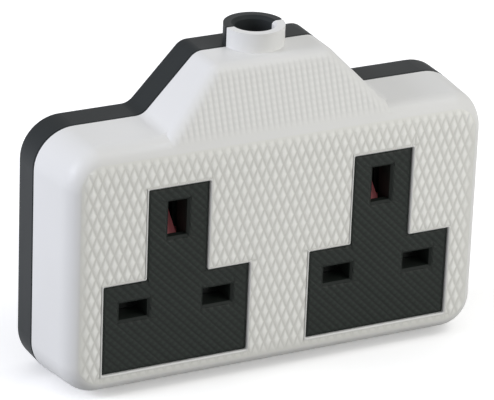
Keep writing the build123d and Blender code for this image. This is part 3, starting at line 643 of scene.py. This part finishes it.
def in_tee(point, inset, x=0.0):
    """Is a point of the drawing inside a socket's T, drawn in by inset?"""
    half = TEE_FOOT_HALF if point.y < TEE_SHOULDER - inset else TEE_STEM_HALF
    return abs(point.x - x) < half - inset and TEE_LOW + inset < point.y < TEE_HIGH - inset


print("corners of a T in mm:", [in_mm(corner) for corner in tee_corners(0)])

# %% [markdown]
# ## Diamonds on the front
# The front face is covered with upright diamonds, about 2.3 mm wide and 5.5 mm high, that run out on its
# rounded edge and stop at the narrow rims of the two T windows. An array of one pad would leave whole pads
# across the rims, so two families of slanting cuts part one large sheet into diamonds, and the windows are
# then cut out of it.

# %% Cells of the front
DIAMOND_W = 2.33 * MM
DIAMOND_H = 5.5 * MM
FIELD_HALF = 53.0 * MM
FIELD_LOW = 5.0 * MM
FIELD_HIGH = 61.9 * MM
FIELD_CORNER = 5.7 * MM
FIELD_CORNER_CUTS = 8
WINDOW_RIM = 0.43 * MM

front = flat_sheet(-FIELD_HALF, FIELD_HALF, FIELD_LOW, FIELD_HIGH)
for side_x in (-1, 1):
    for side_z, end in ((-1, FIELD_LOW), (1, FIELD_HIGH)):
        centre = (side_x * (FIELD_HALF - FIELD_CORNER), end - side_z * FIELD_CORNER)
        round_corner(front, centre, FIELD_CORNER, (side_x, side_z), FIELD_CORNER_CUTS)
columns = math.ceil(FIELD_HALF / DIAMOND_W) + math.ceil(FIELD_HIGH / DIAMOND_H)
for slant in (-1, 1):
    for count in range(-columns, columns + 1):
        cut(front, (count * DIAMOND_W, 0), (1 / DIAMOND_W, slant / DIAMOND_H))
for gang_x in (-GANG_X, GANG_X):
    cut_outline(front, tee_corners(-WINDOW_RIM, gang_x))
    drop_cells(front, lambda point: in_tee(point, -WINDOW_RIM, gang_x))
print("diamonds on the front:", len(front.faces))

# %% [markdown]
# ## Diamond pads
# The rims of the windows stand 0.3 mm proud of the face in the CAD model, and the crests of the diamonds lie
# flush with them. The face bends where the rounding of the front edge begins. The sheet is cut once more
# there, at the sides and in a few steps at the head, so that it has joints to bend at when it is laid on the
# cover.

# %% Front texture
DIAMOND_RISE = 0.22 * MM
DIAMOND_CROWN = 0.05 * MM
DIAMOND_TOP = 0.52
DIAMOND_CALM = 0.2
FLAT_HALF = BODY_HALF - FRONT_ROUND
FLAT_HIGH = BODY_H - FRONT_ROUND
HEAD_JOINTS = 4
RUN_OUT = 2.5 * MM


def front_strength(point):
    """Strength of the diamonds at a point: full inside, and none at the outer edge."""
    edge = min(FIELD_HALF - abs(point.x), FIELD_HIGH - point.y, point.y - FIELD_LOW)
    return min(1, max(0, edge / RUN_OUT))


lift_cells(front, DIAMOND_RISE, DIAMOND_CROWN, DIAMOND_TOP, DIAMOND_CALM)
for step in range(HEAD_JOINTS):
    cut(front, (0, FLAT_HIGH + (FIELD_HIGH - FLAT_HIGH) * step / HEAD_JOINTS), (0, 1))
for side_x in (-1, 1):
    cut(front, (side_x * FLAT_HALF, 0), (1, 0))
run_out(front, front_strength, DIAMOND_CALM)
front_turn = facing_front((0, FRONT_Y, 0))
drape(front, front_turn)
close_back(front, THIN_BACK)
place_piece("front_diamond_texture", front, front_turn, white_diamonds)

# %% [markdown]
# ## Ridges on the neck
# The leaning front of the neck has small square pads, 1.5 mm apart, that run out on its rounded edges. The
# sheet is a trapezium, drawn flat on the leaning plane. Lines along its flanks trim it, a few more round its
# upper corners, and upright cuts then part it into ridges. The arc of a corner touches the flank and the
# head, so its middle lies on the line halfway between the directions that those two face.

# %% Ridges of the neck
NECK_PITCH = 1.51 * MM
NECK_LOW = 1.4 * MM
NECK_HIGH = 18.3 * MM
NECK_FOOT_HALF = 30.4 * MM
NECK_HEAD_HALF = 15.6 * MM
NECK_CORNER = 3.2 * MM
NECK_CORNER_CUTS = 4

neck_foot = Vector((NECK_FOOT_HALF, NECK_LOW))
flank = Vector((NECK_HIGH - NECK_LOW, NECK_FOOT_HALF - NECK_HEAD_HALF)).normalized()
flank_angle = math.atan2(flank.y, flank.x)
corner_angle = (flank_angle + math.pi / 2) / 2
corner_reach = NECK_CORNER / math.cos(corner_angle - flank_angle)
corner_x = NECK_HEAD_HALF - corner_reach * math.cos(corner_angle)
corner_z = NECK_HIGH - corner_reach * math.sin(corner_angle)
neck = flat_sheet(-NECK_FOOT_HALF, NECK_FOOT_HALF, NECK_LOW, NECK_HIGH)
for side_x in (-1, 1):
    cut(neck, (side_x * neck_foot.x, neck_foot.y), (side_x * flank.x, flank.y), trim=True)
    centre = (side_x * corner_x, corner_z)
    round_corner(neck, centre, NECK_CORNER, (side_x, 1), NECK_CORNER_CUTS, flank_angle)
columns = math.ceil(NECK_FOOT_HALF / NECK_PITCH)
for count in range(-columns, columns + 1):
    cut(neck, ((count + 0.5) * NECK_PITCH, 0), (1, 0))
print("ridges on the neck:", len(neck.faces))

# %% [markdown]
# ## Square pads on the neck
# Cross grooves part the ridges into squares. The leaning plane starts where the rounding of the front edge
# has turned by its lean of 22 degrees, which gives the root of the drawing. All edges of the neck are rounded
# in the CAD model, so the sheet gets several joints along each of them, and the pads then bend with it.

# %% Neck texture
NECK_RISE = 0.10 * MM
NECK_CROWN = 0.03 * MM
NECK_TOP = 0.5
NECK_END_RUN = 0.5 * MM
NECK_CALM = 0.7
NECK_CROSS = 0.35
NECK_BACK = 0.05 * MM
ROUND_REACH = 2.6 * MM
ROUND_JOINTS = 5
LEAN = math.radians(22)
FACE_SINK = 0.3 * MM
LEAN_ROOT = Vector((
    0, FRONT_Y + FACE_SINK + FRONT_ROUND * (1 - math.cos(LEAN)), FLAT_HIGH + FRONT_ROUND * math.sin(LEAN)))


def neck_strength(point):
    """Strength of the pads at a point: full inside, and none at the edges of the leaning front."""
    side = (neck_foot - Vector((abs(point.x), point.y))).dot(flank)
    return min(1, max(0, min(side, NECK_HIGH - point.y, point.y - NECK_LOW) / RUN_OUT))


lift_cells(neck, NECK_RISE, NECK_CROWN, NECK_TOP, NECK_CALM, end_run=NECK_END_RUN)
cross_grooves(neck, (0, 1), NECK_PITCH, 2 * math.ceil(NECK_HIGH / NECK_PITCH), NECK_CROSS)
for step in range(1, ROUND_JOINTS + 1):
    inset = ROUND_REACH * step / ROUND_JOINTS
    cut(neck, (0, NECK_LOW + inset), (0, 1))
    cut(neck, (0, NECK_HIGH - inset), (0, 1))
    spot = neck_foot - inset * flank
    for side_x in (-1, 1):
        cut(neck, (side_x * spot.x, spot.y), (side_x * flank.x, flank.y))
run_out(neck, neck_strength, NECK_CALM)
lean_turn = facing_front(LEAN_ROOT, LEAN)
drape(neck, lean_turn)
close_back(neck, NECK_BACK)
place_piece("neck_square_texture", neck, lean_turn, white_squares)

# %% [markdown]
# ## Square pads on the panels
# The dark panels have the same square pads as the neck, 1.5 mm apart, turned by 45 degrees, and here too one
# family of grooves is the deeper one. Each sheet follows the T of its panel and stops at the eased mouths of
# the three slots. The panel is flat, so the sheet needs no joints and is only moved into its place.

# %% Panel texture
PANEL_PITCH = 1.52 * MM
PANEL_SPIN = math.radians(45)
PANEL_RISE = 0.23 * MM
PANEL_CROWN = 0.03 * MM
PANEL_TOP = 0.45
PANEL_END_RUN = 0.4 * MM
PANEL_CALM = 0.5
PANEL_CROSS = 0.6
PANEL_EDGE = 0.55 * MM
PANEL_FACE_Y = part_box("socket_panel_left")[0].y
SLOT_EDGE = 0.65 * MM
PIN_SPACING = 22.2 * MM
PIN_Z = 22.9 * MM
FLAT_SLOT = (7.4 * MM, 4.4 * MM)
EARTH_SLOT = (5.0 * MM, 9.2 * MM)
SLOTS = (
    (-PIN_SPACING / 2, PIN_Z, FLAT_SLOT),
    (PIN_SPACING / 2, PIN_Z, FLAT_SLOT),
    (0, PIN_Z + PIN_SPACING, EARTH_SLOT),
)

tee = tee_corners(PANEL_EDGE)
half, low, high = tee[0][0], tee[0][1], tee[3][1]
spacing = PANEL_PITCH * math.sqrt(2)
lines = math.ceil((high + half) / spacing)
for side, gang_x in GANGS:
    pads = flat_sheet(-half, half, low, high)
    for count in range(-lines, lines + 1):
        cut(pads, (count * spacing, 0), (1, 1))
    cut_outline(pads, tee)
    drop_cells(pads, lambda point: not in_tee(point, PANEL_EDGE))
    for slot_x, slot_z, (width, height) in SLOTS:
        half_w = width / 2 + SLOT_EDGE
        half_h = height / 2 + SLOT_EDGE
        cut_outline(pads, box_corners(slot_x, slot_z, half_w, half_h))
        drop_cells(pads, lambda point: abs(point.x - slot_x) < half_w and abs(point.y - slot_z) < half_h)
    print(side, "panel ridges:", len(pads.faces))
    lift_cells(pads, PANEL_RISE, PANEL_CROWN, PANEL_TOP, PANEL_CALM, PANEL_SPIN, PANEL_END_RUN)
    cross_grooves(pads, (-1, 1), PANEL_PITCH, 2 * lines, PANEL_CROSS)
    close_back(pads, THIN_BACK)
    turn = facing_front((gang_x, PANEL_FACE_Y - SEAT_GAP, 0))
    place_piece("panel_square_texture_" + side, pads, turn, panel_squares_pbt)

# %% [markdown]
# ## Shutter springs
# Under each shutter stands a small compression spring of half-millimetre wire, with a closed coil at each
# end. The CAD model has it with a square wire. A curve with a bevel could draw the round one, but it would
# need its own list of points, so a round section is spun along its axis instead. Only the four-sided faces
# along the wire are smooth, and its cut ends stay flat. The piece stands for the CAD node, which is hidden.
# Both slides are alike, so the first one tells the foot.

# %% Springs
WIRE_R = 0.25 * MM
WIRE_SIDES = 8
COIL_R = 1.5 * MM
CLOSED_PITCH = 0.56 * MM
ACTIVE_TURNS = 3.5
TURN_STEPS = 20
END_GAP = 0.1 * MM
SPRING_Y = -4.75 * MM
SPRING_FOOT_Z = frame["joints"][0]["deforming_nodes"][0]["fixed_end_z_m"]
SPRING_HEAD_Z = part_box("shutter_left")[0].z - END_GAP


def wind(bm, geom, turns, pitch, axis_at):
    """Spin a wire section on for some turns at a pitch, and return its new end."""
    steps = round(turns * TURN_STEPS)
    return bmesh.ops.spin(
        bm, geom=geom, cent=axis_at, axis=(0, 0, 1), dvec=(0, 0, turns * pitch / steps),
        angle=turns * 2 * math.pi, steps=steps, use_merge=False, use_duplicate=False)["geom_last"]


start_z = SPRING_FOOT_Z + END_GAP + WIRE_R
active_rise = SPRING_HEAD_Z - WIRE_R - start_z - 2 * CLOSED_PITCH
for side, gang_x in GANGS:
    coil = bmesh.new()
    axis_at = (gang_x, SPRING_Y, 0)
    section = Matrix.Translation((gang_x + COIL_R, SPRING_Y, start_z)) @ Matrix.Rotation(math.pi / 2, 4, "X")
    bmesh.ops.create_circle(coil, cap_ends=True, radius=WIRE_R, segments=WIRE_SIDES, matrix=section)
    grown = list(coil.verts) + list(coil.edges) + list(coil.faces)
    grown = wind(coil, grown, 1, CLOSED_PITCH, axis_at)
    grown = wind(coil, grown, ACTIVE_TURNS, active_rise / ACTIVE_TURNS, axis_at)
    wind(coil, grown, 1, CLOSED_PITCH, axis_at)
    bmesh.ops.remove_doubles(coil, verts=coil.verts, dist=MERGE)
    bmesh.ops.recalc_face_normals(coil, faces=coil.faces)
    for face in coil.faces:
        face.smooth = len(face.verts) == 4
    spring = place_piece("shutter_coil_" + side, coil, Matrix.Identity(4), spring_wire)
    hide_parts("shutter_spring_" + side)
    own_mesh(spring)

# %% [markdown]
# ## Floor
# The outlet is shown on white, as in a catalogue. The floor is a sheet of paper that catches the soft shadow.
# A lamp bright enough to turn it white would wash the outlet out. So the floor adds a little light of its
# own where the camera or a reflection sees it, and the light that it throws back is that of a grey floor.

# %% Floor
FLOOR_HALF = 3.0
PAPER_GLOW = 0.28

floor_bm = bmesh.new()
bmesh.ops.create_grid(floor_bm, x_segments=1, y_segments=1, size=FLOOR_HALF)
floor_mesh = bpy.data.meshes.new("floor")
floor_bm.to_mesh(floor_mesh)
floor_bm.free()
floor = bpy.data.objects.new("floor", floor_mesh)
scene.collection.objects.link(floor)
floor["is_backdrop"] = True
paper, tree = new_material("white_paper_floor")
rays = add_node(tree, "ShaderNodeLightPath").outputs
seen = rays["Is Camera Ray"]
for ray in ("Is Glossy Ray", "Is Transmission Ray"):
    seen = add_node(tree, "ShaderNodeMath", {0: seen, 1: rays[ray]}, operation="MAXIMUM").outputs[0]
grey = add_node(tree, "ShaderNodeBsdfDiffuse", {"Color": linear("#888888")}).outputs[0]
pale = add_node(tree, "ShaderNodeBsdfDiffuse", {"Color": linear("#ffffff")}).outputs[0]
glow = add_node(tree, "ShaderNodeEmission", {"Color": linear("#ffffff"), "Strength": PAPER_GLOW}).outputs[0]
sheet = add_node(tree, "ShaderNodeAddShader", {0: pale, 1: glow}).outputs[0]
mixed = add_node(tree, "ShaderNodeMixShader", {0: seen, 1: grey, 2: sheet}).outputs[0]
add_node(tree, "ShaderNodeOutputMaterial", {"Surface": mixed})
floor_mesh.materials.append(paper)
print("floor is", floor.dimensions.x, "m wide")

# %% [markdown]
# ## Light
# Four soft lamps and an even white world light the outlet. The key is a large lamp far to the left, which
# makes the left wall the brightest face and throws the shadow to the right. A fill from the right front opens
# the front face, a lamp high above it lights the top of the covers, and a weak rim from behind lights the far
# edges. Larger lamps give softer shadows, and the pads need some direction in the light to show.

# %% Light
LAMP_AIM = Vector((0, 0, 0.04))
WORLD_STRENGTH = 0.46


def soft_lamp(name, place, size, watts, colour):
    """A square lamp that points from its place to the middle of the outlet."""
    lamp = bpy.data.lights.new(name, "AREA")
    lamp.size = size
    lamp.energy = watts
    lamp.color = linear(colour)[:3]
    holder = bpy.data.objects.new(name, lamp)
    holder.location = place
    holder.rotation_mode = "QUATERNION"
    holder.rotation_quaternion = (LAMP_AIM - Vector(place)).to_track_quat("-Z", "Y")
    scene.collection.objects.link(holder)


soft_lamp("key", (-1.05, 0.18, 0.45), size=0.5, watts=10.0, colour="#f0f3ff")
soft_lamp("fill", (0.40, -0.58, 0.22), size=0.35, watts=2.0, colour="#fffef9")
soft_lamp("top", (0.37, -0.36, 0.77), size=0.4, watts=1.7, colour="#ffffff")
soft_lamp("rim", (0.62, 0.95, 0.50), size=0.4, watts=0.8, colour="#ffffff")
world = bpy.data.worlds.new("studio")
scene.world = world
world.use_nodes = True
world.node_tree.nodes.clear()
sky = add_node(world.node_tree, "ShaderNodeBackground", {
    "Color": linear("#ffffff"), "Strength": WORLD_STRENGTH})
add_node(world.node_tree, "ShaderNodeOutputWorld", {"Surface": sky.outputs[0]})

# %% [markdown]
# ## Camera
# The viewpoint was found by fitting the six slots, whose spacing a standard plug fixes. It is a long lens
# that looks down from the front left, and it leans a little, so the base line of the front isn't quite level.
# The turn of the camera is put together from its three axes: right, above and back.

# %% Camera
AZIMUTH = math.radians(-27.34)
ELEVATION = math.radians(23.857)
ROLL = math.radians(2.24)
AIM = Vector((-9.296, -13.15, 46.91)) * MM
DISTANCE = 886.8 * MM
FOCAL_PX = 3698.3
IMAGE_W = 494
SENSOR_W = 36.0
NEAR_CLIP = 0.05

back = Vector((
    math.sin(AZIMUTH) * math.cos(ELEVATION), -math.cos(AZIMUTH) * math.cos(ELEVATION), math.sin(ELEVATION)))
level = Vector((0, 0, 1)).cross(back).normalized()
up = back.cross(level)
right = math.cos(ROLL) * level + math.sin(ROLL) * up
above = -math.sin(ROLL) * level + math.cos(ROLL) * up
eye = AIM + back * DISTANCE
lens = bpy.data.cameras.new("camera")
lens.sensor_width = SENSOR_W
lens.lens = FOCAL_PX * SENSOR_W / IMAGE_W
lens.clip_start = NEAR_CLIP
camera = bpy.data.objects.new("camera", lens)
camera.matrix_world = Matrix.Translation(eye) @ Matrix((right, above, back)).transposed().to_4x4()
scene.collection.objects.link(camera)
scene.camera = camera
print("camera stands at mm:", in_mm(eye), "with a lens of", round(lens.lens, 1), "mm")

# %% [markdown]
# ## Sizes and finish
# The visual model stays inside the box of the CAD model.

# %% Finish
low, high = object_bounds()
{"cad": [list(cad_low), list(cad_high)], "visual": [list(low), list(high)]}
print("visual box in mm:", in_mm(low), in_mm(high))
